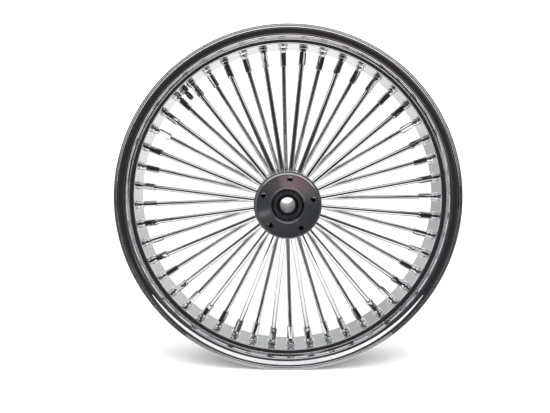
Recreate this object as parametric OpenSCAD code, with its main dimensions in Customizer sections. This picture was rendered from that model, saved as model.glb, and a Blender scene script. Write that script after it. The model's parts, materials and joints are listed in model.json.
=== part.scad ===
// Spoked front wheel for a motorcycle. The axle lies along Y, the front face looks along -Y,
// and the origin is the centre of the axle bore on the rim's middle plane. Sizes are in millimetres.

/* [Rim] */
// Outer radius of the rim lips
rim_r = 281.7; // [279:0.1:284]
// Radius of the well's surface on the spoke side
well_r = 256.5; // [255:0.1:257]
// Thickness of the rolled sheet
sheet_t = 3.0; // [2.6:0.1:3.2]
// Half the width between the insides of the bead flanges
bead_half_w = 44.45; // [43:0.05:46]
// Half of the overall width, at the lip tips
lip_half_w = 55; // [54:0.5:57]
// Half the width of the flat well on the spoke side
well_half_w = 28; // [26:0.5:29]

/* [Hub] */
// Radius of the two flanges
flange_r = 54.5; // [53:0.5:57]
// Half the distance between the two rotor faces
hub_half_w = 73; // [71:0.5:76]
// Chamfer at the edge of each rotor face
flange_chamfer = 4.5; // [3:0.5:5]
// Radius of the barrel between the flanges
barrel_r = 33; // [31:0.5:35]
// Distance of each flange's inner edge from the middle plane
flange_inner_y = 29; // [27:0.5:30]
// Radius of the rotor pilot recess
pilot_r = 28; // [27.5:0.5:29]
// Depth of the rotor pilot recess
pilot_depth = 5; // [3:0.5:6]
// Diameter of the rotor bolt circle
rotor_pcd = 82.55; // [80:0.05:84]
// Radius of the rotor bolt holes
rotor_hole_r = 4; // [3.2:0.1:4.4]
// Number of rotor bolt holes on each side
rotor_bolts = 5; // [5:1:6]
// Depth of the rotor bolt holes
rotor_hole_depth = 20; // [14:1:20]
// Turn of the first rotor bolt hole from the top
rotor_turn = 4.5; // [0:0.5:72]

/* [Spokes and nipples] */
// Number of spokes on each side
spokes_per_side = 24; // [20:1:24]
// Radius of a spoke
spoke_r = 4.3; // [3.8:0.1:4.4]
// Distance from the middle plane of the spokes just inside a flange
spoke_hub_y = 38; // [36:0.5:39]
// Radius at which the screwed ends of the spokes stop inside a flange
spoke_end_r = 38.5; // [38:0.5:42]
// Turn of the first front spoke from the top
spoke_turn = 5.9; // [0:0.1:15]
// Width across the flats of a nipple's barrel
nipple_flats = 11.8; // [11.4:0.1:12]
// Length of a nipple below the rim
nipple_len = 30.5; // [28:0.5:32]

/* [Bearings] */
// Radius of the axle bore
axle_r = 12.5; // [12.4:0.1:12.7]
// Outer radius of a bearing
bearing_r = 26; // [26:0.5:26.5]
// Width of a bearing
bearing_w = 15; // [14:0.5:15]
// Radius of the circle through the ball centres
ball_pitch_r = 19.5; // [19.4:0.1:19.6]
// Radius of a ball
ball_r = 3.95; // [3.9:0.01:3.97]
// Number of balls in a bearing
ball_count = 9; // [7:1:9]

/* [Valve] */
// Radius of the valve stem
stem_r = 4.1; // [4:0.05:4.15]
// Length of the stem on the spoke side of the rim
stem_len = 16; // [14:0.5:18]
// Width across the flats of the valve nut
valve_nut_flats = 12.6; // [12:0.2:14]
// Thickness of the valve nut
valve_nut_t = 5; // [4:0.5:6]

/* [Hidden] */
$fn = 96;

chrome = "gainsboro";
dark_chrome = "dimgray";
steel = "silver";
rubber = "black";
brass = "darkgoldenrod";
through = 1;                    // how far a cutter runs past the face that it opens

// Rim: the seat and its underside rise by seat_rise towards the flange
flange_h = 15;                  // height of the bead flange above the seat
seat_r = rim_r - flange_h;
seat_rise = 0.8;
under_r = seat_r - sheet_t;
seat_end_y = 30;                // where the seat ends and the wall of the well starts
wall_y = seat_end_y + 2;        // the same corner on the spoke side
wall_foot_y = well_half_w - 1.8;  // where that wall meets the well on the tyre side
bend_in = 1.5;                  // inside radius of the sheet's sharp bends
// In section the flange is a flat S: a nearly straight middle, a lean at each end and a flare to the lip
wall_r = [seat_r + 3.7, seat_r + 7.7];  // ends of the flange's middle part
wall_lean = 1.4;                // how far the lean carries each end along the axle
wall_bend_r = [14, 12];         // bend at each end of the middle part
flare_r = rim_r - 4.58;         // where the wall curves away into the flare
flare_y = bead_half_w + sheet_t + 0.61;
flare_bend = 6.4;
lip_t = 1.9;                    // the flange thins towards the lip's tip
lip_root_r = rim_r - 2.7;
lip_root_y = bead_half_w + sheet_t + 2.18;
lip_root_bend = 2.2;
lip_round = lip_t / 2 - 0.05;
arc_steps = 5;                  // straight pieces in each rounded corner
boss_r = 7.7;                   // raised boss round each nipple hole
boss_h = 4;
boss_ring_r = 8.3;              // thicker ring round its mouth
boss_ring_h = 1.5;
boss_edge = 0.6;                // chamfer round the ring
nipple_hole_r = 6.9;
seat_cone_r = 9.3;              // mouth of the cone that a nipple's head seats in
seat_cone_top = -1.2;           // start of the cone, along the spoke, below the rim's surface
seat_cone_h = 2.6;

// Seal band over the nipple heads
band_half_w = wall_foot_y - 2.2;  // clear of the rounded foot of the wall
band_top_r = 265.6;
band_crown_half_w = 13;
band_groove_half_w = 12;
band_groove_r = 264;
band_edge_t = 1.2;
band_valve_hole_r = 9.5;

// Nipple, along the spoke from the rim's surface towards the hub
nipple_shank_r = 6.75;
nipple_neck_r = 5.7;
nipple_neck_z = 7.8;
nipple_bore_r = spoke_r + 0.05;
nipple_bore_z = -0.5;
nipple_head_r = 9;
nipple_head_h = 4.4;
nipple_dome_r = 7;
nipple_slot_w = 2;
nipple_slot_depth = 1.4;
nipple_edge = 0.9;              // chamfer across the corners of the hexagon
nipple_edge_len = 1.45;         // the same chamfer along the nipple
nipple_tip_edge = 1.2;          // the chamfer at the open end
hex_over_flats = 2 / sqrt(3);   // corner width over flat width of a hexagon
spoke_top_z = 1;                // where a spoke ends inside its nipple

// Hub
cavity_r = 20;                  // bore between the two bearings
barrel_half_w = 18;
flange_web_r = 42;
edge_chamfer = 1.2;
hole_chamfer = 0.8;
flange_edge = 4;                // rounding of the chamfer's two edges
socket_gap = 0.05;              // radial, round the screwed end of a spoke
socket_end_gap = 0.2;
spoke_hub_r = 50;               // radius at which a spoke is spoke_hub_y from the middle plane
dish = atan(spoke_hub_y / (well_r - spoke_hub_r));
spoke_pitch = 360 / (2 * spokes_per_side);

// Bearings
bearing_out_y = hub_half_w - pilot_depth;
bearing_mid_y = bearing_out_y - bearing_w / 2;
bearing_in_y = bearing_out_y - bearing_w;
groove_r = ball_r + 0.1;
inner_land_r = 17.2;
outer_land_r = 21.8;
seal_r = 22.9;
seal_t = 1;
seal_inset = 0.6;
seal_gap = 0.08;
seal_fit = 0.02;                // between a seal and its seat in the outer race
race_edge = 0.6;
cage_half_w = 5;
cage_in_r = 18.4;
cage_out_r = 20.6;
cage_gap = 0.07;
spacer_r = 15.4;

// Valve, along its own axis from the rim's surface towards the hub
valve_gap_index = 41;           // counts the gaps between spokes from the first front spoke
valve_turn = spoke_turn + (valve_gap_index + 0.5) * spoke_pitch;
valve_hole_r = stem_r + 0.1;
valve_seat_z = 0.13;            // the washer's face, clear of the curve of the rim
valve_washer_r = 8;
valve_washer_t = 1;
grommet_r = 8;
grommet_t = 2;
stem_head_r = 7.4;
stem_head_t = 2.6;
stem_neck_r = 3.8;              // thinner thread that the cap screws on
stem_neck_len = 7;
stem_bore_r = 1.5;
core_r = 2.4;
core_len = 8;
pin_r = 0.8;
pin_gap = 0.08;
pin_len = 12;
pin_proud = 0.3;
cap_r = 4.6;
cap_tip_r = 3.6;
cap_len = 12;
cap_taper = 2;                  // length of the taper at the cap's closed end
cap_gap = 0.6;                  // between the cap's mouth and the stem's shoulder
cap_wall_r = stem_neck_r + 0.08;
cap_bore_len = 8.2;
cap_ribs = 12;
cap_rib_r = 0.5;
nut_edge = 0.8;

// ---- Helpers ----

// Points of one rounded corner. Each corner is [x, y, radius].
function unit(v) = v / norm(v);
function rounded_corner(before, at, after) =
    let (
        a = unit([before.x - at.x, before.y - at.y]),
        b = unit([after.x - at.x, after.y - at.y]),
        half = acos(a * b) / 2,
        middle = unit(a + b),
        centre = [at.x, at.y] + middle * at[2] / sin(half),
        start = [at.x, at.y] + a * at[2] / tan(half) - centre,
        side = sign(a.x * b.y - a.y * b.x),
        first = atan2(start.y, start.x)
    )
    at[2] == 0 ? [[at.x, at.y]] :
    [for (i = [0:arc_steps])
        centre + at[2] * [
            cos(first - side * (180 - 2 * half) * i / arc_steps),
            sin(first - side * (180 - 2 * half) * i / arc_steps)
        ]
    ];

function rounded_outline(corners) =
    let (n = len(corners))
    [for (i = [0:n - 1])
        each rounded_corner(corners[(i + n - 1) % n], corners[i], corners[(i + 1) % n])
    ];

// The same corners on the other side of the middle plane, in reverse order
function mirrored(corners) = [for (i = [len(corners) - 1:-1:0])
    [corners[i].x, -corners[i].y, corners[i][2]]
];

// Turns a profile of [radius, distance along the axle] round the axle
module turned(segments = 180) {
    rotate([-90, 0, 0]) rotate_extrude($fn = segments) children();
}

// A ring between two places on the axle
module ring(outer, inner, y0, y1) {
    rotate([-90, 0, 0]) translate([0, 0, y0]) difference() {
        cylinder(r = outer, h = y1 - y0);
        translate([0, 0, -through]) cylinder(r = inner, h = y1 - y0 + 2 * through);
    }
}

// Looks from the rim's surface along one spoke towards the hub. side is -1 at the front, 1 at the rear.
module along_spoke(index, side) {
    turn = spoke_turn + spoke_pitch * (2 * index + (side > 0 ? 1 : 0));
    rotate([0, turn, 0]) translate([0, 0, well_r]) rotate([180 + side * dish, 0, 0]) children();
}

module along_every_spoke(side) {
    for (i = [0:spokes_per_side - 1]) along_spoke(i, side) children();
}

module along_valve() {
    rotate([0, valve_turn, 0]) translate([0, 0, well_r]) rotate([180, 0, 0]) children();
}

// Moves a front piece to the rear, mirrored
module on_side(side) {
    mirror([0, side > 0 ? 1 : 0, 0]) children();
}

// ---- Rim ----

rim_half = [
    [well_r, well_half_w, 3],
    [under_r, wall_y, 2],
    [under_r + seat_rise, bead_half_w + wall_lean, bend_in + sheet_t],
    [wall_r[0], bead_half_w + sheet_t - 0.1, wall_bend_r[0]],
    [wall_r[1], bead_half_w + sheet_t, wall_bend_r[1]],
    [flare_r, flare_y, flare_bend],
    [lip_root_r, lip_root_y, lip_root_bend],
    [rim_r - lip_t, lip_half_w, lip_round],
    [rim_r, lip_half_w, lip_round],
    [rim_r, bead_half_w + wall_lean, bend_in + sheet_t],
    [wall_r[1] + 0.4, bead_half_w, wall_bend_r[1]],
    [wall_r[0] + 0.5, bead_half_w - 0.1, wall_bend_r[0]],
    [seat_r + seat_rise, bead_half_w - 0.9, bend_in],
    [seat_r, seat_end_y, 3],
    [well_r + sheet_t, wall_foot_y, 3]
];

module rim() {
    color(chrome) difference() {
        union() {
            turned() polygon(rounded_outline(concat(rim_half, mirrored(rim_half))));
            for (side = [-1, 1]) along_every_spoke(side) {
                translate([0, 0, -sheet_t / 2]) cylinder(r = boss_r, h = boss_h - boss_edge + sheet_t / 2);
                translate([0, 0, boss_h - boss_ring_h])
                    cylinder(r1 = boss_r, r2 = boss_ring_r, h = boss_ring_h - 2 * boss_edge);
                translate([0, 0, boss_h - 2 * boss_edge]) cylinder(r = boss_ring_r, h = boss_edge);
                translate([0, 0, boss_h - boss_edge])
                    cylinder(r1 = boss_ring_r, r2 = boss_ring_r - boss_edge, h = boss_edge);
            }
        }
        for (side = [-1, 1]) along_every_spoke(side) nipple_hole();
        along_valve() translate([0, 0, -sheet_t - through])
            cylinder(r = valve_hole_r, h = sheet_t + 2 * through);
    }
}

module nipple_hole() {
    mirror([0, 0, 1]) translate([0, 0, -boss_h - through])
        cylinder(r = nipple_hole_r, h = boss_h + through - seat_cone_top + through);
    mirror([0, 0, 1]) translate([0, 0, -seat_cone_top])
        cylinder(r1 = nipple_hole_r, r2 = seat_cone_r, h = seat_cone_h);
    mirror([0, 0, 1]) translate([0, 0, -seat_cone_top + seat_cone_h])
        cylinder(r = seat_cone_r, h = sheet_t);
}

module rim_seal_band() {
    floor_r = well_r + sheet_t;
    half = [
        [floor_r, band_half_w],
        [floor_r + band_edge_t, band_half_w],
        [band_top_r, band_crown_half_w]
    ];
    groove = [
        [band_groove_r, band_groove_half_w],
        [floor_r, band_groove_half_w]
    ];
    color(rubber) difference() {
        turned() polygon([
            half[0], half[1], half[2],
            [half[2].x, -half[2].y], [half[1].x, -half[1].y], [half[0].x, -half[0].y],
            [groove[1].x, -groove[1].y], [groove[0].x, -groove[0].y],
            groove[0], groove[1]
        ]);
        along_valve() mirror([0, 0, 1]) cylinder(r = band_valve_hole_r, h = band_top_r - well_r + through);
    }
}

// ---- Hub ----

hub_outside = [
    [pilot_r, hub_half_w, 0],
    [flange_r - flange_chamfer, hub_half_w, flange_edge],
    [flange_r, hub_half_w - flange_chamfer, flange_edge],
    [flange_r, flange_inner_y + edge_chamfer, 0],
    [flange_r - edge_chamfer, flange_inner_y, 0],
    [flange_web_r, flange_inner_y - 2, 4],
    [barrel_r, barrel_half_w, 6]
];
hub_inside = [
    [cavity_r, bearing_in_y, 0],
    [bearing_r, bearing_in_y, 0],
    [bearing_r, bearing_out_y, 0],
    [pilot_r, bearing_out_y, 0]
];

module hub() {
    half = concat(hub_inside, hub_outside);
    color(dark_chrome) difference() {
        turned() polygon(rounded_outline(concat(half, mirrored(half))));
        for (side = [-1, 1]) {
            rotor_holes(side);
            along_every_spoke(side) spoke_socket();
        }
    }
}

// Blind tapped holes for the rotor bolts, each with a small chamfer at its mouth
module rotor_holes(side) {
    for (i = [0:rotor_bolts - 1])
        on_side(side) rotate([0, rotor_turn + i * 360 / rotor_bolts, 0])
            translate([0, -hub_half_w, rotor_pcd / 2]) rotate([-90, 0, 0]) {
                translate([0, 0, -through]) cylinder(r = rotor_hole_r, h = rotor_hole_depth + through);
                translate([0, 0, -hole_chamfer])
                    cylinder(r1 = rotor_hole_r + 2 * hole_chamfer, r2 = rotor_hole_r, h = 2 * hole_chamfer);
            }
}

// Where a spoke screws into its flange
module spoke_socket() {
    mouth = spoke_length(flange_r) - spoke_r;
    translate([0, 0, mouth]) cylinder(r = spoke_r + socket_gap, h = spoke_length(spoke_end_r) - mouth);
}

// Length along a spoke from the rim's surface to a given radius
function spoke_length(radius) = (well_r - radius) / cos(dish);

module spoke() {
    translate([0, 0, spoke_top_z])
        cylinder(r = spoke_r, h = spoke_length(spoke_end_r) - spoke_top_z - socket_end_gap);
}

module front_spokes() { color(chrome) along_every_spoke(-1) spoke(); }
module rear_spokes() { color(chrome) along_every_spoke(1) spoke(); }

// ---- Nipples ----

module nipple() {
    hex_r = nipple_flats * hex_over_flats / 2;
    difference() {
        union() {
            nipple_head();
            translate([0, 0, seat_cone_top]) cylinder(r = nipple_shank_r, h = boss_h - seat_cone_top);
            translate([0, 0, boss_h])
                cylinder(r1 = nipple_shank_r, r2 = nipple_neck_r, h = nipple_neck_z - boss_h);
            intersection() {
                translate([0, 0, nipple_neck_z - nipple_edge])
                    cylinder(r = hex_r, h = nipple_len - nipple_neck_z + nipple_edge, $fn = 6);
                nipple_barrel_edges(hex_r);
            }
        }
        translate([0, 0, nipple_bore_z])
            cylinder(r = nipple_bore_r, h = nipple_len - nipple_bore_z + through);
    }
}

// Cone-shaped seat, low dome and screwdriver slot, on the tyre side
module nipple_head() {
    mirror([0, 0, 1]) translate([0, 0, -seat_cone_top]) difference() {
        union() {
            cylinder(r1 = nipple_shank_r, r2 = nipple_head_r, h = seat_cone_h);
            translate([0, 0, seat_cone_h])
                cylinder(r1 = nipple_head_r, r2 = nipple_dome_r, h = nipple_head_h - seat_cone_h);
        }
        translate([-nipple_head_r, -nipple_slot_w / 2, nipple_head_h - nipple_slot_depth])
            cube([2 * nipple_head_r, nipple_slot_w, nipple_slot_depth + through]);
    }
}

module nipple_barrel_edges(hex_r) {
    start = nipple_neck_z - nipple_edge;
    rotate_extrude($fn = 64) polygon([
        [0, start],
        [hex_r - nipple_edge, start],
        [hex_r, start + nipple_edge_len],
        [hex_r, nipple_len - nipple_edge_len],
        [hex_r - nipple_tip_edge, nipple_len],
        [0, nipple_len]
    ]);
}

module front_nipples() { color(chrome) along_every_spoke(-1) nipple(); }
module rear_nipples() { color(chrome) along_every_spoke(1) nipple(); }

// ---- Bearings ----

module race_groove() {
    turned(128) translate([ball_pitch_r, -bearing_mid_y]) circle(r = groove_r, $fn = 64);
}

module inner_race(side) {
    color(steel) on_side(side) difference() {
        turned(128) polygon([
            [axle_r, -bearing_out_y], [inner_land_r - race_edge, -bearing_out_y],
            [inner_land_r, -bearing_out_y + race_edge], [inner_land_r, -bearing_in_y - race_edge],
            [inner_land_r - race_edge, -bearing_in_y], [axle_r, -bearing_in_y]
        ]);
        race_groove();
    }
}

module outer_race(side) {
    seat = seal_inset + seal_t;
    color(steel) on_side(side) difference() {
        turned(128) polygon([
            [bearing_r, -bearing_out_y], [seal_r, -bearing_out_y],
            [seal_r, -bearing_out_y + seat], [outer_land_r, -bearing_out_y + seat],
            [outer_land_r, -bearing_in_y - seat], [seal_r, -bearing_in_y - seat],
            [seal_r, -bearing_in_y], [bearing_r, -bearing_in_y]
        ]);
        race_groove();
    }
}

module at_each_ball() {
    for (i = [0:ball_count - 1])
        rotate([0, i * 360 / ball_count, 0]) translate([0, -bearing_mid_y, ball_pitch_r]) children();
}

module balls(side) {
    color(steel) on_side(side) at_each_ball() sphere(r = ball_r, $fn = 48);
}

module cage(side) {
    color(brass) on_side(side) difference() {
        ring(cage_out_r, cage_in_r, -bearing_mid_y - cage_half_w, -bearing_mid_y + cage_half_w);
        at_each_ball() sphere(r = ball_r + cage_gap, $fn = 48);
    }
}

// The face of a bearing's seal that is nearer the middle plane is at distance near_y
module seal(side, near_y) {
    color(rubber) on_side(side)
        ring(seal_r - seal_fit, inner_land_r + seal_gap, -near_y - seal_t, -near_y);
}

module outer_seal(side) { seal(side, bearing_out_y - seal_inset - seal_t); }
module inner_seal(side) { seal(side, bearing_in_y + seal_inset); }

module front_outer_race() { outer_race(-1); }
module front_inner_race() { inner_race(-1); }
module front_balls() { balls(-1); }
module front_cage() { cage(-1); }
module front_outer_seal() { outer_seal(-1); }
module front_inner_seal() { inner_seal(-1); }
module rear_outer_race() { outer_race(1); }
module rear_inner_race() { inner_race(1); }
module rear_balls() { balls(1); }
module rear_cage() { cage(1); }
module rear_outer_seal() { outer_seal(1); }
module rear_inner_seal() { inner_seal(1); }

module spacer_tube() {
    color(steel) ring(spacer_r, axle_r, -bearing_in_y, bearing_in_y);
}

// ---- Valve ----

module valve_stem() {
    head_z = -sheet_t - grommet_t - stem_head_t;
    neck_z = stem_len - stem_neck_len;
    color(dark_chrome) along_valve() difference() {
        union() {
            translate([0, 0, head_z]) cylinder(r = stem_head_r, h = stem_head_t);
            translate([0, 0, head_z]) cylinder(r = stem_r, h = neck_z - head_z);
            translate([0, 0, neck_z]) cylinder(r = stem_neck_r, h = stem_neck_len);
        }
        translate([0, 0, head_z - through]) cylinder(r = stem_bore_r, h = stem_len - head_z);
        translate([0, 0, stem_len - core_len]) cylinder(r = core_r, h = core_len + through);
    }
}

module valve_grommet() {
    color(rubber) along_valve() translate([0, 0, -sheet_t - grommet_t]) difference() {
        cylinder(r = grommet_r, h = grommet_t);
        translate([0, 0, -through]) cylinder(r = stem_r, h = grommet_t + 2 * through);
    }
}

module valve_washer() {
    color(dark_chrome) along_valve() translate([0, 0, valve_seat_z]) difference() {
        cylinder(r = valve_washer_r, h = valve_washer_t);
        translate([0, 0, -through]) cylinder(r = stem_r, h = valve_washer_t + 2 * through);
    }
}

module valve_nut() {
    corner_r = valve_nut_flats * hex_over_flats / 2;
    color(dark_chrome) along_valve() translate([0, 0, valve_seat_z + valve_washer_t]) difference() {
        intersection() {
            cylinder(r = corner_r, h = valve_nut_t, $fn = 6);
            rotate_extrude($fn = 64) polygon([
                [0, 0], [corner_r, 0], [corner_r, valve_nut_t - nut_edge],
                [corner_r - nut_edge, valve_nut_t], [0, valve_nut_t]
            ]);
        }
        translate([0, 0, -through]) cylinder(r = stem_r, h = valve_nut_t + 2 * through);
    }
}

module valve_core() {
    color(brass) along_valve() translate([0, 0, stem_len - core_len]) difference() {
        cylinder(r = core_r, h = core_len);
        translate([0, 0, -through]) cylinder(r = pin_r + pin_gap, h = core_len + 2 * through);
    }
}

module valve_pin() {
    color(brass) along_valve() translate([0, 0, stem_len + pin_proud - pin_len])
        cylinder(r = pin_r, h = pin_len, $fn = 32);
}

module valve_cap() {
    mouth = stem_len - stem_neck_len + cap_gap;
    color(dark_chrome) along_valve() translate([0, 0, mouth]) difference() {
        union() {
            cylinder(r = cap_r, h = cap_len - cap_taper);
            translate([0, 0, cap_len - cap_taper]) cylinder(r1 = cap_r, r2 = cap_tip_r, h = cap_taper);
        }
        translate([0, 0, -through]) cylinder(r = cap_wall_r, h = cap_bore_len + through);
        for (i = [0:cap_ribs - 1]) rotate([0, 0, i * 360 / cap_ribs])
            translate([cap_r + cap_rib_r / 2, 0, 1]) cylinder(r = cap_rib_r, h = cap_len, $fn = 24);
    }
}

rim();
rim_seal_band();
hub();
front_spokes();
rear_spokes();
front_nipples();
rear_nipples();
front_outer_race();
front_inner_race();
front_balls();
front_cage();
front_outer_seal();
front_inner_seal();
rear_outer_race();
rear_inner_race();
rear_balls();
rear_cage();
rear_outer_seal();
rear_inner_seal();
spacer_tube();
valve_stem();
valve_grommet();
valve_washer();
valve_nut();
valve_core();
valve_pin();
valve_cap();
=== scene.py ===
"""The looks of a spoked motorcycle wheel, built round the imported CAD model.

The axle lies along Y, the front face looks along -Y and Z is up. Lengths in the tables below are in
millimetres, as in the CAD source, and MM turns them into Blender's metres.
"""

import json
import math

import bpy
import numpy as np
from mathutils import Matrix, Vector


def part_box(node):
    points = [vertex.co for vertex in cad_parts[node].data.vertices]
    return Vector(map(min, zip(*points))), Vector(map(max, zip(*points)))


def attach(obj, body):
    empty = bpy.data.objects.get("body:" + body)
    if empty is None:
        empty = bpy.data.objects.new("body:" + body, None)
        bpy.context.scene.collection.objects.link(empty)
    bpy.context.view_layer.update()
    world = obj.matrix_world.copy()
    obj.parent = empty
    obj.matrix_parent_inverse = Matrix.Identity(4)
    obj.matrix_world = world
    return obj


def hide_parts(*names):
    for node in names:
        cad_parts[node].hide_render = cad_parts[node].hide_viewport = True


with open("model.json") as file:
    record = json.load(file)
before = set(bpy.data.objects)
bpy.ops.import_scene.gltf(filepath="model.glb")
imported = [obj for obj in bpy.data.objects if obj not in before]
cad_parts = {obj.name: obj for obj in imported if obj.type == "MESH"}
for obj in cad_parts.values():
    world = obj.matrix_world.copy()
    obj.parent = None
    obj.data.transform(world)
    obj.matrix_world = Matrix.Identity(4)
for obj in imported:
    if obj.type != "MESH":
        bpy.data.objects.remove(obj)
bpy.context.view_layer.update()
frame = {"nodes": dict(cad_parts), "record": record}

MM = 0.001
TAU = 2 * math.pi

# ---------------------------------------------------------------- sizes taken from the frame
RIM_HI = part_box("rim")[1]
HUB_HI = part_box("hub")[1]
RIM_R = RIM_HI.x / MM
LIP_Y = RIM_HI.y / MM
FLANGE_R = HUB_HI.x / MM
HUB_Y = HUB_HI.y / MM
AXLE_R = 12.5
BEARING_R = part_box("front_outer_race")[1].x / MM
BEARING_OUT_Y = -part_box("front_outer_race")[0].y / MM
BEARING_IN_Y = -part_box("front_outer_race")[1].y / MM
SPACER_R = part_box("spacer_tube")[1].x / MM
FLOOR_Z = -RIM_HI.z

# ---------------------------------------------------------------- sizes shared with the CAD source
WELL_R = 256.5
WELL_Y = 28.0
SHEET = 3.0
BEAD_Y = 44.45
SEAT_R = RIM_R - 15
SEAT_END_Y = 30
SEAT_RISE = 0.8
UNDER_R = SEAT_R - SHEET
WELL_BEND = 3
BEND_IN = 1.5
WALL_R = (SEAT_R + 3.7, SEAT_R + 7.7)
WALL_LEAN = 1.4
WALL_BEND = (14, 12)
FLARE_R, FLARE_Y, FLARE_BEND = RIM_R - 4.58, BEAD_Y + SHEET + 0.61, 6.4
LIP_ROOT_R, LIP_ROOT_Y, LIP_ROOT_BEND = RIM_R - 2.7, BEAD_Y + SHEET + 2.18, 2.2
LIP_T = 1.9
LIP_ROUND = LIP_T / 2 - 0.05
SPOKES_PER_SIDE = 24
SPOKE_R = 4.3
SPOKE_TURN = 5.9
SPOKE_PITCH = 360 / (2 * SPOKES_PER_SIDE)
SPOKE_END_R = 38.5
DISH = math.atan(38 / (WELL_R - 50))
NIPPLE_LEN = 30.5
NIPPLE_FLATS = 11.8
NIPPLE_HOLE_R = 6.9
BOSS_R = 7.7
BOSS_RING_R = 8.3
BOSS_H = 4.0
FLANGE_CHAMFER = 4.5
FLANGE_EDGE = 4
RECESS_R = 28
ROTOR_R = 82.55 / 2
ROTOR_HOLE_R = 4.0
ROTOR_HOLE_DEPTH = 20
ROTOR_BOLTS = 5
ROTOR_TURN = 4.5
VALVE_TURN = SPOKE_TURN + 41.5 * SPOKE_PITCH


# ---------------------------------------------------------------- meshes
def mesh_object(name, verts, faces, sharp=32):
    """A mesh object from millimetre points, smooth except across edges sharper than `sharp` degrees."""
    mesh = bpy.data.meshes.new(name)
    mesh.from_pydata((np.asarray(verts) * MM).tolist(), [], faces)
    mesh.update()
    obj = bpy.data.objects.new(name, mesh)
    bpy.context.scene.collection.objects.link(obj)
    smooth(obj, sharp)
    return obj


def smooth(obj, sharp):
    obj.data.shade_smooth()
    obj.data.set_sharp_from_angle(angle=math.radians(sharp))


def turned(rows, segments=64, closed=False):
    """Points and faces of a solid turned about Z.

    Each row is (radius, height). Either may be a function of the angle. A closed outline makes a ring,
    and an open one is capped at both ends.
    """
    angles = np.arange(segments) * TAU / segments
    verts = []
    for radius, height in rows:
        r = np.array([radius(a) if callable(radius) else radius for a in angles])
        z = np.array([height(a) if callable(height) else height for a in angles])
        verts.append(np.stack([r * np.cos(angles), r * np.sin(angles), z], 1))
    count = len(rows)
    faces = []
    for i in range(count if closed else count - 1):
        a, b = i * segments, (i + 1) % count * segments
        for k in range(segments):
            n = (k + 1) % segments
            faces.append((a + k, a + n, b + n, b + k))
    if not closed:
        faces.append(tuple(range(segments))[::-1])
        faces.append(tuple((count - 1) * segments + k for k in range(segments)))
    return np.concatenate(verts), faces


def placed(parts):
    """Joins copies of solids. parts is a list of (points, faces, matrix), all in millimetres."""
    verts, faces, start = [], [], 0
    for points, polys, matrix in parts:
        m = np.array(matrix)
        verts.append(points @ m[:3, :3].T + m[:3, 3])
        faces.extend(tuple(start + i for i in poly) for poly in polys)
        start += len(points)
    return np.concatenate(verts), faces


ALONG_AXLE = Matrix.Rotation(math.radians(-90), 4, "X")


def corner(before, at, radius, after, steps):
    """Points of one rounded corner of an outline."""
    before, at, after = (np.array(p[:2], float) for p in (before, at, after))
    if radius == 0:
        return [tuple(at)]
    a = (before - at) / np.linalg.norm(before - at)
    b = (after - at) / np.linalg.norm(after - at)
    half = math.acos(max(-1, min(1, a @ b))) / 2
    middle = (a + b) / np.linalg.norm(a + b)
    centre = at + middle * radius / math.sin(half)
    start = at + a * radius / math.tan(half) - centre
    side = math.copysign(1, a[0] * b[1] - a[1] * b[0])
    first = math.atan2(start[1], start[0])
    sweep = -side * (math.pi - 2 * half)
    turns = [first + sweep * i / steps for i in range(steps + 1)]
    return [tuple(centre + radius * np.array([math.cos(turn), math.sin(turn)])) for turn in turns]


def rounded(corners, steps=8, support=0.12):
    """Closed outline whose corners are (x, y, radius).

    A support point near each end of a straight keeps its shading flat.
    """
    n = len(corners)
    arcs = [corner(corners[i - 1], corners[i], corners[i][2], corners[(i + 1) % n], steps) for i in range(n)]
    points = []
    for i in range(n):
        points += arcs[i]
        a, b = np.array(arcs[i][-1]), np.array(arcs[(i + 1) % n][0])
        length = np.linalg.norm(b - a)
        if length > 5 * support:
            points += [tuple(a + (b - a) * support / length), tuple(b - (b - a) * support / length)]
    return points


def both_halves(corners):
    return corners + [(x, -y, r) for x, y, r in reversed(corners)]


def axle_ring(name, outline, segments=192, sharp=32):
    """A ring round the axle from a closed outline of (radius, distance along the axle)."""
    verts, faces = turned(outline, segments, closed=True)
    points, faces = placed([(verts, faces, ALONG_AXLE)])
    return mesh_object(name, points, faces, sharp)


def spoke_places(side):
    """Matrices from a spoke's own axis, starting at the rim and pointing to the hub, into the wheel."""
    for i in range(SPOKES_PER_SIDE):
        turn = SPOKE_TURN + SPOKE_PITCH * (2 * i + (side > 0))
        yield (
            Matrix.Rotation(math.radians(turn), 4, "Y")
            @ Matrix.Translation((0, 0, WELL_R))
            @ Matrix.Rotation(math.pi + side * DISH, 4, "X")
        )


def spoke_length(radius):
    return (WELL_R - radius) / math.cos(DISH)


def hexagon(flats, crown=0.0):
    """Radius of a hexagon at each angle. A crown pulls its corners in, so that the flats bulge a little."""
    r = flats / 2
    return lambda a: r + (1 - crown) * (r / math.cos((a + math.pi / 6) % (math.pi / 3) - math.pi / 6) - r)


def hex_rows(flats, low, high, low_r, high_r, slope=0.55, crown=0.0):
    """Rows of a hexagonal bar whose ends are turned to a cone, so that each flat ends in an arc."""
    r = hexagon(flats, crown)
    return [
        (low_r, low),
        (r, lambda a: low + slope * (r(a) - low_r)),
        (r, lambda a: high - slope * (r(a) - high_r)),
        (high_r, high),
    ]


def thread_rows(radius, depth, low, high, pitch):
    """Rows of a screw thread, drawn as rings."""
    rows = []
    count = int((high - low) / pitch)
    for i in range(count):
        z = low + i * (high - low) / count
        rows += [(radius - depth, z), (radius, z + 0.4 * pitch), (radius, z + 0.6 * pitch)]
    return rows + [(radius - depth, high)]


# ---------------------------------------------------------------- materials
def node_material(name):
    material = bpy.data.materials.new(name)
    material.use_nodes = True
    tree = material.node_tree
    return material, tree, tree.nodes["Principled BSDF"]


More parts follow.
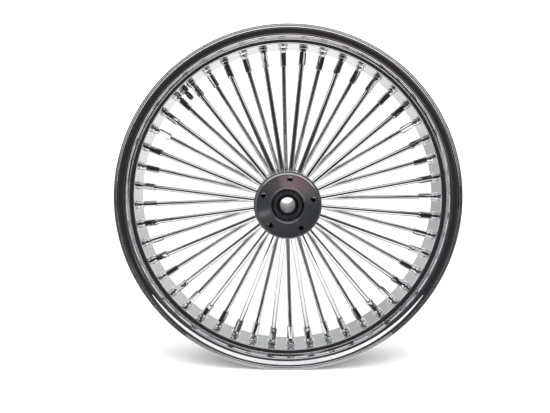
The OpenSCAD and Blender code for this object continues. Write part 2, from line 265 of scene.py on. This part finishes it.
def noise(tree, scale, detail=3.0, stretch=(1, 1, 1)):
    """A noise texture in the object's own space."""
    place = tree.nodes.new("ShaderNodeTexCoord")
    mapping = tree.nodes.new("ShaderNodeMapping")
    mapping.inputs["Scale"].default_value = stretch
    texture = tree.nodes.new("ShaderNodeTexNoise")
    texture.inputs["Scale"].default_value = scale
    texture.inputs["Detail"].default_value = detail
    tree.links.new(place.outputs["Object"], mapping.inputs["Vector"])
    tree.links.new(mapping.outputs["Vector"], texture.inputs["Vector"])
    return texture


def ramp(tree, texture, low, high, start=0.3, end=0.7):
    """Spreads a texture's values between two colours or grey levels."""
    node = tree.nodes.new("ShaderNodeValToRGB")
    node.color_ramp.elements[0].position = start
    node.color_ramp.elements[1].position = end
    for element, value in zip(node.color_ramp.elements, (low, high)):
        element.color = (*value, 1) if isinstance(value, tuple) else (value, value, value, 1)
    tree.links.new(texture.outputs["Fac"], node.inputs["Fac"])
    return node.outputs["Color"]


def bump(tree, shader, texture, strength, distance):
    node = tree.nodes.new("ShaderNodeBump")
    node.inputs["Strength"].default_value = strength
    node.inputs["Distance"].default_value = distance
    tree.links.new(texture.outputs["Fac"], node.inputs["Height"])
    tree.links.new(node.outputs["Normal"], shader.inputs["Normal"])


def turning_marks(tree, shader, strength):
    """Stretches highlights across marks that run round the axle."""
    tangent = tree.nodes.new("ShaderNodeTangent")
    tangent.direction_type = "RADIAL"
    tangent.axis = "Y"
    tree.links.new(tangent.outputs["Tangent"], shader.inputs["Tangent"])
    shader.inputs["Anisotropic"].default_value = strength
    shader.inputs["Anisotropic Rotation"].default_value = 0.25


def plated(name, dark, light, smoothest, roughest, ripple=0.0, turned_marks=0.0):
    """Plated or polished metal: a slightly uneven tint, hazier patches and a faint ripple."""
    material, tree, shader = node_material(name)
    shader.inputs["Metallic"].default_value = 1.0
    tree.links.new(ramp(tree, noise(tree, 9), dark, light), shader.inputs["Base Color"])
    haze = noise(tree, 40, 6)
    tree.links.new(ramp(tree, haze, smoothest, roughest), shader.inputs["Roughness"])
    if ripple:
        bump(tree, shader, noise(tree, 30, 1), ripple, 0.001)
    if turned_marks:
        turning_marks(tree, shader, turned_marks)
    return material


def turned_steel(name, dark, light, smoothest, roughest):
    """Machined steel with fine turning marks round the axle."""
    material, tree, shader = node_material(name)
    shader.inputs["Metallic"].default_value = 1.0
    marks = noise(tree, 260, 4, (1, 6, 1))
    tree.links.new(ramp(tree, marks, dark, light), shader.inputs["Base Color"])
    tree.links.new(ramp(tree, marks, smoothest, roughest), shader.inputs["Roughness"])
    bump(tree, shader, marks, 0.15, 0.0002)
    turning_marks(tree, shader, 0.7)
    return material


def rubber(name, dark, light):
    material, tree, shader = node_material(name)
    grain = noise(tree, 900, 5)
    tree.links.new(ramp(tree, noise(tree, 60, 3), dark, light), shader.inputs["Base Color"])
    tree.links.new(ramp(tree, grain, 0.5, 0.75), shader.inputs["Roughness"])
    shader.inputs["Specular IOR Level"].default_value = 0.35
    bump(tree, shader, grain, 0.3, 0.0002)
    return material


CHROME_DARK, CHROME_LIGHT = (0.58, 0.59, 0.60), (0.66, 0.665, 0.67)
HUB_DARK, HUB_LIGHT = (0.54, 0.53, 0.55), (0.60, 0.59, 0.61)
MATERIALS = {
    "rim_chrome": plated("rim_chrome", CHROME_DARK, CHROME_LIGHT, 0.012, 0.045, 0.02),
    "spoke_chrome": plated("spoke_chrome", CHROME_DARK, CHROME_LIGHT, 0.02, 0.06),
    "nipple_chrome": plated("nipple_chrome", (0.54, 0.55, 0.56), (0.62, 0.625, 0.63), 0.05, 0.12, 0.03),
    "hub_dark_chrome": plated("hub_dark_chrome", HUB_DARK, HUB_LIGHT, 0.06, 0.10, 0.01, 0.8),
    # The near-black base colour of bearing_steel is painted shade: it darkens the bearing races deep in the
    # hub's recess.
    "bearing_steel": turned_steel("bearing_steel", (0.050, 0.050, 0.066), (0.085, 0.085, 0.105), 0.25, 0.35),
    "ball_steel": plated("ball_steel", (0.62, 0.62, 0.64), (0.70, 0.70, 0.71), 0.03, 0.08),
    "cage_brass": plated("cage_brass", (0.48, 0.34, 0.12), (0.62, 0.46, 0.18), 0.25, 0.4, 0.05),
    "seal_rubber": rubber("seal_rubber", (0.010, 0.010, 0.013), (0.022, 0.022, 0.026)),
    "spacer_steel": turned_steel("spacer_steel", (0.42, 0.42, 0.44), (0.62, 0.62, 0.64), 0.22, 0.42),
    "band_rubber": rubber("band_rubber", (0.030, 0.030, 0.033), (0.055, 0.055, 0.06)),
    # The dark grey base colour of valve_metal is painted shade: it gives the nickel valve the darkness of a
    # part in shade.
    "valve_metal": plated("valve_metal", (0.20, 0.20, 0.21), (0.30, 0.30, 0.31), 0.16, 0.3, 0.04),
    "valve_brass": plated("valve_brass", (0.55, 0.40, 0.15), (0.68, 0.52, 0.22), 0.2, 0.35),
}
SLOT_OF = {s["node"]: s["material_slot"] for s in frame["record"]["subparts"]}


def finish_piece(obj, node, body="wheel", extra=()):
    """Gives a piece its node's material and body, and hides the CAD nodes that it stands for."""
    slot = SLOT_OF[node]
    obj.data.materials.append(MATERIALS[slot])
    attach(obj, body)
    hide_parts(node, *extra)
    return obj


# ---------------------------------------------------------------- rim
def make_rim():
    half = [
        (WELL_R, WELL_Y, WELL_BEND),
        (UNDER_R, SEAT_END_Y + 2, 2),
        (UNDER_R + SEAT_RISE, BEAD_Y + WALL_LEAN, BEND_IN + SHEET),
        (WALL_R[0], BEAD_Y + SHEET - 0.1, WALL_BEND[0]),
        (WALL_R[1], BEAD_Y + SHEET, WALL_BEND[1]),
        (FLARE_R, FLARE_Y, FLARE_BEND),
        (LIP_ROOT_R, LIP_ROOT_Y, LIP_ROOT_BEND),
        (RIM_R - LIP_T, LIP_Y, LIP_ROUND),
        (RIM_R, LIP_Y, LIP_ROUND),
        (RIM_R, BEAD_Y + WALL_LEAN, BEND_IN + SHEET),
        (WALL_R[1] + 0.4, BEAD_Y, WALL_BEND[1]),
        (WALL_R[0] + 0.5, BEAD_Y - 0.1, WALL_BEND[0]),
        (SEAT_R + SEAT_RISE, BEAD_Y - 0.9, BEND_IN),
        (SEAT_R, SEAT_END_Y, WELL_BEND),
        (WELL_R + SHEET, WELL_Y - 1.8, WELL_BEND),
    ]
    ring = turned(rounded(both_halves(half), 6), 400, closed=True)
    parts = [(*ring, ALONG_AXLE)]
    boss = turned(
        [
            (BOSS_R + 1.0, -1.6),
            (BOSS_R + 0.5, 0.0),
            (BOSS_R + 0.12, 0.5),
            (BOSS_R, 1.0),
            (BOSS_R, BOSS_H - 1.5),
            (BOSS_RING_R - 0.1, BOSS_H - 1.0),
            (BOSS_RING_R, BOSS_H - 0.75),
            (BOSS_RING_R - 0.05, BOSS_H - 0.45),
            (BOSS_RING_R - 0.35, BOSS_H - 0.12),
            (BOSS_RING_R - 0.7, BOSS_H),
            (NIPPLE_HOLE_R, BOSS_H),
        ],
        48,
    )
    for side in (-1, 1):
        parts += [(*boss, place) for place in spoke_places(side)]
    verts, faces = placed(parts)
    return finish_piece(mesh_object("rim_shell", verts, faces, 40), "rim")


# ---------------------------------------------------------------- seal band
def make_seal_band():
    floor_r = WELL_R + SHEET
    half = [
        (264.0, 12, 0.8),
        (floor_r, 12, 0.2),
        (floor_r, 24, 0.3),
        (floor_r + 1.2, 24, 0.5),
        (265.6, 13, 3),
    ]
    outline = rounded(both_halves(half), 5)
    return finish_piece(axle_ring("seal_band", outline, 360), "rim_seal_band")


# ---------------------------------------------------------------- spokes and nipples
def make_spokes(side, name):
    length = spoke_length(SPOKE_END_R)
    edge_r = SPOKE_R - 0.5
    spoke = turned([(edge_r, 1), (SPOKE_R, 1.5), (SPOKE_R, length - 0.7), (edge_r, length - 0.2)], 40)
    verts, faces = placed([(*spoke, place) for place in spoke_places(side)])
    return finish_piece(mesh_object(name + "_set", verts, faces), name)


def make_nipples(side, name):
    shank_r, neck_r, neck_z = NIPPLE_HOLE_R - 0.15, 5.7, 7.8
    rows = [
        (1.5, -5.6), (4.5, -5.5), (7.2, -4.9), (8.6, -4.2), (9.0, -3.8), (shank_r, -1.2),
        (shank_r, BOSS_H), (shank_r - 0.12, BOSS_H + 0.8), (shank_r - 0.45, BOSS_H + 1.7),
        (shank_r - 0.95, BOSS_H + 2.8), (neck_r - 0.1, neck_z - 0.3), (neck_r - 0.25, neck_z - 0.1),
        *hex_rows(NIPPLE_FLATS, neck_z, NIPPLE_LEN, neck_r - 0.2, neck_r - 0.3, 1.6, 0.3),
        (SPOKE_R + 0.55, NIPPLE_LEN), (SPOKE_R + 0.06, NIPPLE_LEN - 0.6), (SPOKE_R + 0.06, 2.0),
    ]
    nipple = turned(rows, 60)
    turns = [Matrix.Rotation(math.radians(37 * i + 11 * side), 4, "Z") for i in range(SPOKES_PER_SIDE)]
    verts, faces = placed([(*nipple, place @ turn) for place, turn in zip(spoke_places(side), turns)])
    return finish_piece(mesh_object(name + "_set", verts, faces, 20), name)


# ---------------------------------------------------------------- hub
def cut(obj, verts, faces):
    """Cuts a solid out of an object."""
    cutter = mesh_object("cutter", verts, faces)
    modifier = obj.modifiers.new("cut", "BOOLEAN")
    modifier.object = cutter
    modifier.operation = "DIFFERENCE"
    modifier.solver = "EXACT"
    bpy.context.view_layer.update()
    graph = bpy.context.evaluated_depsgraph_get()
    mesh = bpy.data.meshes.new_from_object(obj.evaluated_get(graph))
    obj.modifiers.clear()
    obj.data = mesh
    bpy.data.objects.remove(cutter)


def make_hub():
    half = [
        (20, BEARING_IN_Y, 0),
        (BEARING_R, BEARING_IN_Y, 0.3),
        (BEARING_R, BEARING_OUT_Y, 0.5),
        (RECESS_R, BEARING_OUT_Y, 0.4),
        (RECESS_R, HUB_Y, 0.7),
        (FLANGE_R - FLANGE_CHAMFER, HUB_Y, FLANGE_EDGE),
        (FLANGE_R, HUB_Y - FLANGE_CHAMFER, FLANGE_EDGE),
        (FLANGE_R, 29, 1.2),
        (42, 27, 4),
        (33, 18, 6),
    ]
    hub = axle_ring("hub_shell", rounded(both_halves(half), 6), 384, 28)
    drill_point = 2.3
    hole = turned(
        [
            (0.2, -ROTOR_HOLE_DEPTH - drill_point),
            (ROTOR_HOLE_R - 0.2, -ROTOR_HOLE_DEPTH),
            *thread_rows(ROTOR_HOLE_R, 0.5, 0.5 - ROTOR_HOLE_DEPTH, -1.0, 1.3),
            (ROTOR_HOLE_R, -0.8),
            (ROTOR_HOLE_R + 1.0, 0.6),
        ],
        32,
    )
    cutters = []
    for side in (-1, 1):
        for i in range(ROTOR_BOLTS):
            turn = Matrix.Rotation(math.radians(ROTOR_TURN + 360 / ROTOR_BOLTS * i), 4, "Y")
            place = turn @ Matrix.Translation((0, side * HUB_Y, ROTOR_R))
            cutters.append((*hole, place @ Matrix.Rotation(-side * math.pi / 2, 4, "X")))
    verts, faces = placed(cutters)
    cut(hub, verts, faces)
    smooth(hub, 28)
    return finish_piece(hub, "hub")


# ---------------------------------------------------------------- bearings and spacer
def make_bearing(side, name):
    def outline(corners, steps=4):
        return [(r, side * y) for r, y in rounded(corners, steps)]

    out_y, in_y = BEARING_OUT_Y, BEARING_IN_Y
    mid_y = (out_y + in_y) / 2
    groove_r, groove_w = 22.9, 1.6
    shoulder_r, outer_track_r = 21.8, 23.4
    land_r, inner_track_r = 17.2, 15.6
    track_half_w, track_floor_half_w, track_bend = 3.5, 1.2, 1.5
    outer = [
        (BEARING_R, out_y, 0.8),
        (groove_r, out_y, 0.4),
        (groove_r, out_y - groove_w, 0),
        (shoulder_r, out_y - groove_w, 0),
        (shoulder_r, mid_y + track_half_w, 0),
        (outer_track_r, mid_y + track_floor_half_w, track_bend),
        (outer_track_r, mid_y - track_floor_half_w, track_bend),
        (shoulder_r, mid_y - track_half_w, 0),
        (shoulder_r, in_y + groove_w, 0),
        (groove_r, in_y + groove_w, 0),
        (groove_r, in_y, 0.4),
        (BEARING_R, in_y, 0.8),
    ]
    inner = [
        (AXLE_R, out_y, 0.25),
        (land_r, out_y, 0.5),
        (land_r, mid_y + track_half_w, 0),
        (inner_track_r, mid_y + track_floor_half_w, track_bend),
        (inner_track_r, mid_y - track_floor_half_w, track_bend),
        (land_r, mid_y - track_half_w, 0),
        (land_r, in_y, 0.5),
        (AXLE_R, in_y, 0.6),
    ]
    finish_piece(axle_ring(name + "_race_out", outline(outer)), name + "_outer_race")
    finish_piece(axle_ring(name + "_race_in", outline(inner)), name + "_inner_race", "axle_sleeve")
    for kind, y, way in (("outer", out_y - 0.6, -1), ("inner", in_y + 0.6, 1)):
        seal = [
            (groove_r, y + way, 0), (groove_r, y, 0.2), (21.4, y, 0.3), (20.9, y + 0.35 * way, 0.2),
            (19.0, y + 0.35 * way, 0.2), (18.4, y, 0.3), (17.3, y, 0.3), (17.3, y + way, 0),
        ]
        finish_piece(axle_ring(f"{name}_seal_{kind}", outline(seal)), f"{name}_{kind}_seal")


def make_spacer():
    corners = both_halves([(AXLE_R, BEARING_IN_Y, 0.5), (SPACER_R, BEARING_IN_Y, 0.5)])
    finish_piece(axle_ring("spacer_sleeve", rounded(corners, 3)), "spacer_tube", "axle_sleeve")


# ---------------------------------------------------------------- valve
VALVE_PLACE = (
    Matrix.Rotation(math.radians(VALVE_TURN), 4, "Y")
    @ Matrix.Translation((0, 0, WELL_R))
    @ Matrix.Rotation(math.pi, 4, "X")
)


def valve_piece(name, node, rows, segments=60, body="wheel", closed=False, sharp=26):
    verts, faces = placed([(*turned(rows, segments, closed), VALVE_PLACE)])
    return finish_piece(mesh_object(name, verts, faces, sharp), node, body)


def make_valve():
    stem_top = 16.0
    valve_piece("valve_body", "valve_stem", [
        (1.5, -7.6), (6.6, -7.6), (7.4, -6.9), (7.4, -5.0), (4.1, -5.0), (4.1, 0.2),
        *thread_rows(4.1, 0.35, 0.3, 9.0, 0.8), (3.8, 9.0),
        *thread_rows(3.8, 0.3, 9.2, 15.4, 0.8), (3.3, stem_top), (2.4, stem_top), (2.4, 8.0), (1.5, 8.0),
    ], 48, closed=True)
    valve_piece("valve_seat_washer", "valve_washer", [
        (4.15, 0.13), (7.7, 0.13), (8.0, 0.4), (8.0, 0.85), (7.7, 1.13), (4.15, 1.13),
    ], 64, closed=True)
    nut = hex_rows(12.6, 1.13, 6.13, 6.6, 6.2, 0.55)
    valve_piece("valve_hex_nut", "valve_nut", [(4.15, 1.13), *nut, (4.8, 6.13), (4.15, 5.5)], 60, closed=True)
    ribs = 24

    def knurl(radius, depth):
        return lambda a: radius - depth * (0.5 + 0.5 * math.cos(ribs * a))

    valve_piece("valve_dust_cap", "valve_cap", [
        (3.88, 17.6), (3.88, 10.0), (4.1, 9.6), (4.3, 9.6), (4.6, 10.0), (4.6, 10.6),
        (knurl(4.6, 0.35), 11.0), (knurl(4.6, 0.35), 18.4), (4.55, 18.9), (4.5, 19.6), (3.9, 20.9),
        (3.0, 21.5), (1.2, 21.6),
    ], 144, "valve_cap")


make_rim()
make_seal_band()
make_hub()
for side, where in ((-1, "front"), (1, "rear")):
    make_spokes(side, where + "_spokes")
    make_nipples(side, where + "_nipples")
    make_bearing(side, where)
make_spacer()
make_valve()

# The CAD nodes that nothing stands for are seen, so every node gets its slot's material
for name, node in frame["nodes"].items():
    node.data.materials.clear()
    node.data.materials.append(MATERIALS[SLOT_OF[name]])


# ---------------------------------------------------------------- stage
LEVEL = FLOOR_Z + 0.002
DARK = (0.042, 0.040, 0.044)
SIDE = (0.16, 0.16, 0.165)
TABLE_EDGE_Y, TABLE_EDGE_X = -0.5, 1.3
ROOM_X, ROOM_Y, ROOM_TOP, ROOM_SIDE_END = 2.4, 2.6, 2.6, 0.3
WORLD_STRENGTH = 1.45
CARD_SIDES = 72


def emitter(name, colour):
    material = bpy.data.materials.new(name)
    material.use_nodes = True
    tree = material.node_tree
    tree.nodes.clear()
    shine = tree.nodes.new("ShaderNodeEmission")
    shine.inputs["Color"].default_value = (*colour, 1)
    out = tree.nodes.new("ShaderNodeOutputMaterial")
    tree.links.new(shine.outputs["Emission"], out.inputs["Surface"])
    return material


def card(name, points, faces, material, centre=(0, 0, 0)):
    """A card that only reflections see."""
    mesh = bpy.data.meshes.new(name)
    mesh.from_pydata(points, [], faces)
    obj = bpy.data.objects.new(name, mesh)
    bpy.context.scene.collection.objects.link(obj)
    obj.location = centre
    obj.data.materials.append(material)
    obj.visible_camera = False
    obj.visible_diffuse = False
    obj.visible_shadow = False


def make_floor():
    size = 8.0
    mesh = bpy.data.meshes.new("floor")
    mesh.from_pydata(
        [(-size, -size, FLOOR_Z), (size, -size, FLOOR_Z), (size, size, FLOOR_Z), (-size, size, FLOOR_Z)],
        [], [(0, 1, 2, 3)],
    )
    floor = bpy.data.objects.new("floor", mesh)
    bpy.context.scene.collection.objects.link(floor)
    material, tree, shader = node_material("floor_paper")
    tree.links.new(ramp(tree, noise(tree, 3), 0.86, 0.88), shader.inputs["Base Color"])
    shader.inputs["Roughness"].default_value = 0.9
    shader.inputs["Specular IOR Level"].default_value = 0.1
    floor.data.materials.append(material)


def area_light(name, centre, facing, size, power):
    data = bpy.data.lights.new(name, "AREA")
    data.shape = "SQUARE"
    data.size = size
    data.energy = power
    obj = bpy.data.objects.new(name, data)
    bpy.context.scene.collection.objects.link(obj)
    obj.location = centre
    obj.rotation_mode = "QUATERNION"
    obj.rotation_quaternion = (Vector(facing) - Vector(centre)).to_track_quat("-Z", "Y")
    obj.visible_glossy = False


def wall(name, low, high, colour):
    """A card of one colour between two corners. It is flat in the axis where they are equal."""
    low, high = Vector(low), Vector(high)
    flat = min(range(3), key=lambda i: abs(high[i] - low[i]))
    a, b = (i for i in range(3) if i != flat)
    corners = []
    for s, t in ((0, 0), (1, 0), (1, 1), (0, 1)):
        point = low.copy()
        point[a] = (low, high)[s][a]
        point[b] = (low, high)[t][b]
        corners.append(tuple(point))
    card(name, corners, [(0, 1, 2, 3)], emitter(name, colour))


def angle_card(name, points, faces, centre, stops):
    """A card whose colour changes with the clockwise angle about its centre.

    Each stop is (degrees, colour), or (degrees, grey level).
    """
    material = emitter(name, (1, 1, 1))
    tree = material.node_tree
    place = tree.nodes.new("ShaderNodeTexCoord")
    split = tree.nodes.new("ShaderNodeSeparateXYZ")
    join = tree.nodes.new("ShaderNodeCombineXYZ")
    tree.links.new(place.outputs["Object"], split.inputs[0])
    for source, target in (("Z", "X"), ("X", "Y")):
        flip = tree.nodes.new("ShaderNodeMath")
        flip.operation = "MULTIPLY"
        flip.inputs[1].default_value = -1
        tree.links.new(split.outputs[source], flip.inputs[0])
        tree.links.new(flip.outputs[0], join.inputs[target])
    angle = tree.nodes.new("ShaderNodeTexGradient")
    angle.gradient_type = "RADIAL"
    tree.links.new(join.outputs[0], angle.inputs[0])
    colours = tree.nodes.new("ShaderNodeValToRGB")
    tree.links.new(angle.outputs["Fac"], colours.inputs["Fac"])
    band = colours.color_ramp.elements
    while len(band) < len(stops):
        band.new(0.5)
    for element, (degrees, colour) in zip(band, stops):
        element.position = degrees / 360
        element.color = (*colour, 1) if isinstance(colour, tuple) else (colour, colour, colour, 1)
    shine = next(node for node in tree.nodes if node.type == "EMISSION")
    tree.links.new(colours.outputs["Color"], shine.inputs["Color"])
    card(name, points, faces, material, centre)


def round_card(name, centre, radius, stops):
    angles = [TAU * i / CARD_SIDES for i in range(CARD_SIDES)]
    points = [(radius * math.sin(a), 0, radius * math.cos(a)) for a in angles]
    angle_card(name, points, [tuple(range(CARD_SIDES))], centre, stops)


def collar_card(name, radius, low_y, high_y, stops):
    """A band round the hub, for its chamfered edge to reflect."""
    points, faces = [], []
    for i in range(CARD_SIDES):
        a = TAU * i / CARD_SIDES
        points += [(radius * math.sin(a), y, radius * math.cos(a)) for y in (low_y, high_y)]
        k, n = 2 * i, 2 * ((i + 1) % CARD_SIDES)
        faces.append((k, k + 1, n + 1, n))
    angle_card(name, points, faces, (0, 0, 0), stops)


make_floor()
area_light("soft_top", (0.1, -1.0, 2.1), (0, -0.1, -0.2), 1.4, 42)
wall("room_front", (-ROOM_X, -ROOM_Y, LEVEL), (ROOM_X, -ROOM_Y, ROOM_TOP), DARK)
wall("room_floor", (-ROOM_X, -ROOM_Y, LEVEL), (ROOM_X, TABLE_EDGE_Y, LEVEL), DARK)
for side in (-1, 1):
    inner, outer = side * TABLE_EDGE_X, side * ROOM_X
    wall("room_side", (outer, -ROOM_Y, LEVEL), (outer, ROOM_SIDE_END, ROOM_TOP), SIDE)
    wall("room_side_floor", (inner, TABLE_EDGE_Y, LEVEL), (outer, ROOM_SIDE_END, LEVEL), SIDE)

# The plated hub face reflects a warm patch at the top and greys elsewhere
round_card("hub_reflector", (0.016, -1.0, -0.11), 0.125, [
    (0, (0.36, 0.27, 0.27)), (18, (0.36, 0.26, 0.26)), (22, (0.33, 0.22, 0.24)), (44, (0.30, 0.19, 0.21)),
    (52, (0.22, 0.22, 0.20)), (74, (0.12, 0.13, 0.13)), (95, (0.062, 0.070, 0.085)),
    (140, (0.070, 0.078, 0.095)), (175, (0.075, 0.070, 0.095)), (215, (0.080, 0.085, 0.100)),
    (244, (0.11, 0.115, 0.12)), (250, 0.42), (256, 0.14), (262, (0.075, 0.085, 0.095)),
    (300, (0.080, 0.092, 0.096)), (312, (0.13, 0.12, 0.12)), (338, (0.16, 0.14, 0.14)),
    (346, (0.33, 0.26, 0.26)),
])
COLLAR_R, COLLAR_EDGE_Y = 0.066, -0.0725
collar_card("hub_collar", COLLAR_R, COLLAR_EDGE_Y, -0.062, [
    (0, 0.20), (60, 0.09), (180, 0.18), (270, 0.16), (359, 0.20),
])
collar_card("hub_collar_front", COLLAR_R, -0.115, COLLAR_EDGE_Y, [
    (0, (0.95, 0.88, 0.88)), (50, (0.90, 0.84, 0.84)), (62, 0.24), (90, 0.08), (135, 0.08), (200, 0.05),
    (225, 0.16), (255, 0.15), (305, 0.30), (318, (0.80, 0.78, 0.78)), (345, (1.0, 0.94, 0.94)),
])

# Greys behind the wheel, which the well reflects
BACKDROP_Y, BACKDROP_R = 2.2, 1.25
FOOT_X, FOOT_Y = 1.2, 1.3
BACKDROP_GREYS = [
    (0, 0.76), (20, 0.72), (61, 0.80), (75, 0.83), (112, 0.78), (130, 1.0), (146, 1.07), (169, 1.17),
    (180, 1.03), (191, 1.0), (204, 0.93), (212, 0.62), (241, 0.61), (250, 0.60), (273, 0.76), (292, 0.76),
    (312, 0.58), (340, 0.70), (359, 0.76),
]
round_card("backdrop", (0, BACKDROP_Y, 0), BACKDROP_R, BACKDROP_GREYS)
angle_card(
    "backdrop_foot",
    [(x, y, LEVEL) for x, y in ((-FOOT_X, -FOOT_Y), (FOOT_X, -FOOT_Y), (FOOT_X, 0), (-FOOT_X, 0))],
    [(0, 1, 2, 3)],
    (0, BACKDROP_Y, 0),
    BACKDROP_GREYS,
)

world = bpy.data.worlds.new("white_studio")
bpy.context.scene.world = world
world.use_nodes = True
world.node_tree.nodes["Background"].inputs["Color"].default_value = (1, 1, 1, 1)
world.node_tree.nodes["Background"].inputs["Strength"].default_value = WORLD_STRENGTH
bpy.context.scene.view_settings.view_transform = "Standard"


# ---------------------------------------------------------------- camera
def make_camera():
    distance, rise, swing = 0.827, math.radians(6.23), math.radians(-0.91)
    data = bpy.data.cameras.new("camera")
    data.sensor_width = 36
    data.lens = 31.3
    camera = bpy.data.objects.new("camera", data)
    bpy.context.scene.collection.objects.link(camera)
    camera.location = (
        distance * math.sin(swing) * math.cos(rise),
        -distance * math.cos(swing) * math.cos(rise),
        distance * math.sin(rise),
    )
    target = Vector((-0.0208, 0, -0.0102))
    camera.rotation_mode = "QUATERNION"
    camera.rotation_quaternion = (target - camera.location).to_track_quat("-Z", "Y")
    bpy.context.scene.camera = camera


make_camera()
